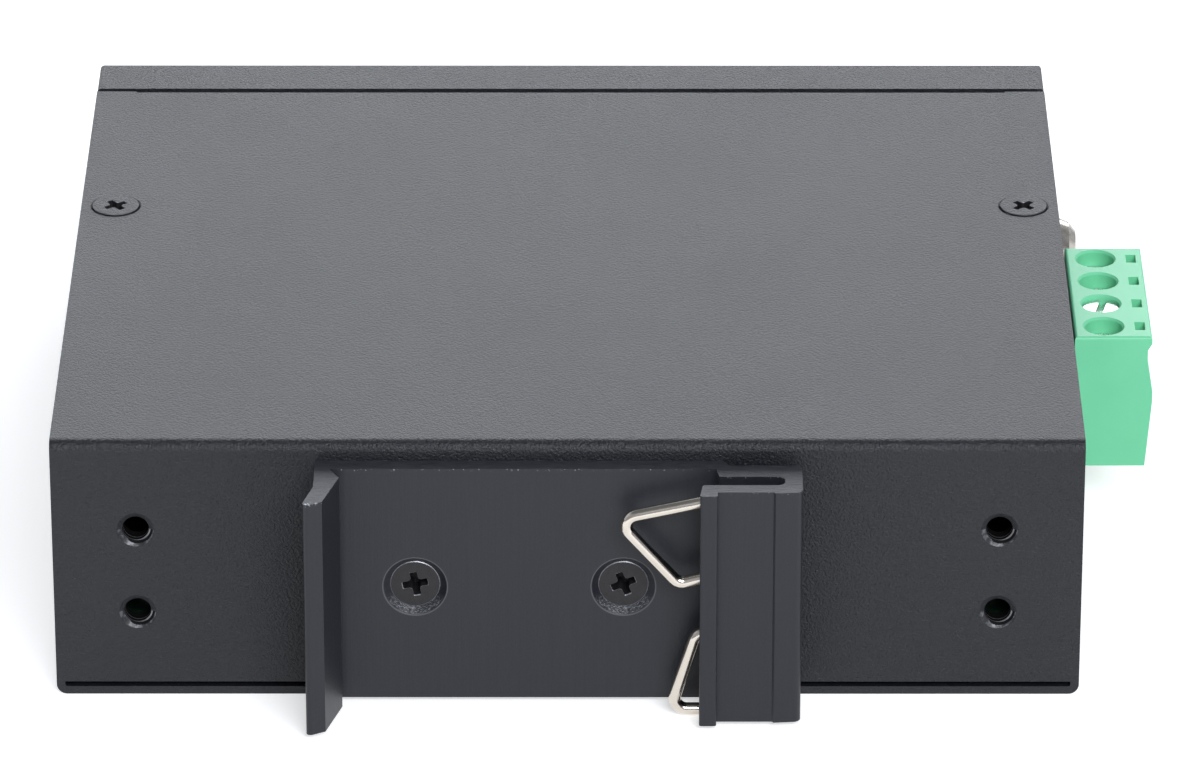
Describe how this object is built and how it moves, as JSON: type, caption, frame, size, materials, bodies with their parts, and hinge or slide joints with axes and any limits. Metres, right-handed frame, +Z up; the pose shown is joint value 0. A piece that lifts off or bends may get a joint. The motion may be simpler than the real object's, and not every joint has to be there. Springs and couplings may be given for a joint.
{
  "type": "poe splitter",
  "caption": "Flat black metal box that splits power and data from one network cable, with a clip for a 35 mm rail, network sockets and a green pluggable screw terminal.",
  "frame": {"origin": "middle of the large lower side, on the surface that the box lies on", "axes": "+X towards the screw terminal, -Y towards the rail clip, +Z up through the box's thickness"},
  "size_m": [0.1047, 0.0955, 0.0265],
  "materials": {
    "powder_coat": "fine-textured black powder coat on sheet steel",
    "black_aluminium": "black anodised extrusion with sawn ends",
    "black_steel": "blackened steel screws",
    "bright_wire": "nickel-plated spring wire",
    "bright_steel": "zinc-plated steel",
    "tinned_sheet": "tinned sheet",
    "gilt_contact": "gilt spring contacts",
    "board": "green solder mask",
    "green_moulding": "light green moulded plastic",
    "black_moulding": "black moulded plastic",
    "lens": "clear tinted lens",
    "can_sleeve": "sleeved can",
    "ferrite": "sintered ferrite",
    "winding_tape": "taped winding"
  },
  "bodies": {
    "box": {"chassis": "powder_coat", "cover": "powder_coat", "cover_screws": "black_steel", "din_clip": "black_aluminium", "din_clip_spring": "bright_wire", "din_clip_screws": "black_steel", "pcb": "board", "standoffs": "bright_steel", "pcb_screws": "bright_steel", "jack_out_shield": "tinned_sheet", "jack_out_insert": "black_moulding", "jack_out_contacts": "gilt_contact", "jack_in_shield": "tinned_sheet", "jack_in_insert": "black_moulding", "jack_in_contacts": "gilt_contact", "status_leds": "lens", "led_holders": "black_moulding", "terminal_header": "green_moulding", "header_pins": "tinned_sheet", "ground_washer": "bright_steel", "ground_screw": "bright_steel", "lan_magnetics_out": "black_moulding", "lan_magnetics_in": "black_moulding", "bridge_rectifier_1": "black_moulding", "bridge_rectifier_2": "black_moulding", "pd_controller": "black_moulding", "switching_transistor": "black_moulding", "output_rectifier": "black_moulding", "input_capacitor": "can_sleeve", "output_capacitors": "can_sleeve", "transformer_core": "ferrite", "transformer_bobbin": "winding_tape", "output_inductor": "ferrite"},
    "plug": {"plug_housing": "green_moulding", "plug_contacts": "tinned_sheet"},
    "screw_1": {"terminal_screw_1": "bright_steel"},
    "cage_1": {"clamp_cage_1": "tinned_sheet"},
    "screw_2": {"terminal_screw_2": "bright_steel"},
    "cage_2": {"clamp_cage_2": "tinned_sheet"},
    "screw_3": {"terminal_screw_3": "bright_steel"},
    "cage_3": {"clamp_cage_3": "tinned_sheet"},
    "screw_4": {"terminal_screw_4": "bright_steel"},
    "cage_4": {"clamp_cage_4": "tinned_sheet"}
  },
  "joints": [
    {"name": "plug_pull", "type": "slide", "parent": "box", "child": "plug", "axis": [1, 0, 0], "range_m": [0, 0.012]},
    {"name": "screw_1_turn", "type": "hinge", "parent": "plug", "child": "screw_1", "pos_m": [0.0519, 0.01002, 0.0184], "axis": [0, 0, 1], "range_deg": [-1296, 0]},
    {"name": "cage_1_lift", "type": "slide", "parent": "plug", "child": "cage_1", "axis": [0, 0, 1], "range_m": [0, 0.0018]},
    {"name": "screw_2_turn", "type": "hinge", "parent": "plug", "child": "screw_2", "pos_m": [0.0519, 0.00494, 0.0184], "axis": [0, 0, 1], "range_deg": [-1296, 0]},
    {"name": "cage_2_lift", "type": "slide", "parent": "plug", "child": "cage_2", "axis": [0, 0, 1], "range_m": [0, 0.0018]},
    {"name": "screw_3_turn", "type": "hinge", "parent": "plug", "child": "screw_3", "pos_m": [0.0519, -0.00014, 0.0184], "axis": [0, 0, 1], "range_deg": [-1296, 0]},
    {"name": "cage_3_lift", "type": "slide", "parent": "plug", "child": "cage_3", "axis": [0, 0, 1], "range_m": [0, 0.0018]},
    {"name": "screw_4_turn", "type": "hinge", "parent": "plug", "child": "screw_4", "pos_m": [0.0519, -0.00522, 0.0184], "axis": [0, 0, 1], "range_deg": [-1296, 0]},
    {"name": "cage_4_lift", "type": "slide", "parent": "plug", "child": "cage_4", "axis": [0, 0, 1], "range_m": [0, 0.0018]}
  ],
  "couplings": [
    {"joint": "screw_1_turn", "follows": "cage_1_lift", "rad_per_m": -12566},
    {"joint": "screw_2_turn", "follows": "cage_2_lift", "rad_per_m": -12566},
    {"joint": "screw_3_turn", "follows": "cage_3_lift", "rad_per_m": -12566},
    {"joint": "screw_4_turn", "follows": "cage_4_lift", "rad_per_m": -12566}
  ]
}
